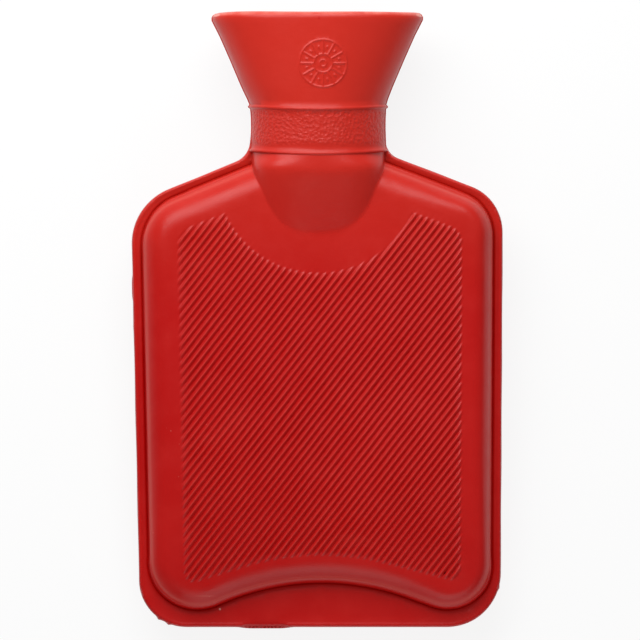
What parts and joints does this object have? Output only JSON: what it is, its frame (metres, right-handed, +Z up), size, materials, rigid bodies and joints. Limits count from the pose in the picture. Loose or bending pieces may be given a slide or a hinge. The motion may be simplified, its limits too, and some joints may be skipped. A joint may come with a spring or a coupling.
{
  "type": "hot water bottle",
  "caption": "Flat moulded rubber hot water bottle with a slanted-rib front, a seam flange, a beaded neck, a funnel mouth and a screw stopper.",
  "frame": {"origin": "bottom centre of the bounding box, on the surface that the bottle lies on", "axes": "+Y from the base edge towards the mouth, +Z up out of the ribbed front, +X across to the right"},
  "size_m": [0.1298, 0.2152, 0.0393],
  "materials": {
    "bottle_rubber": "satin",
    "insert_metal": "machined",
    "washer_rubber": "matte",
    "stopper_plastic": "satin"
  },
  "bodies": {
    "bottle": {"bottle_body": "bottle_rubber", "neck_insert": "insert_metal"},
    "washer": {"sealing_washer": "washer_rubber"},
    "stopper": {"stopper": "stopper_plastic"}
  },
  "joints": [
    {"name": "stopper_rise", "type": "slide", "parent": "bottle", "child": "washer", "axis": [0, 0.999, 0.0451], "range_m": [0, 0.0101]},
    {"name": "stopper_turn", "type": "hinge", "parent": "washer", "child": "stopper", "pos_m": [0, 0.07943, 0.01922], "axis": [0, 0.999, 0.0451], "range_deg": [0, 900]}
  ],
  "couplings": [
    {"joint": "stopper_rise", "follows": "stopper_turn", "m_per_rad": 0.00063662}
  ]
}
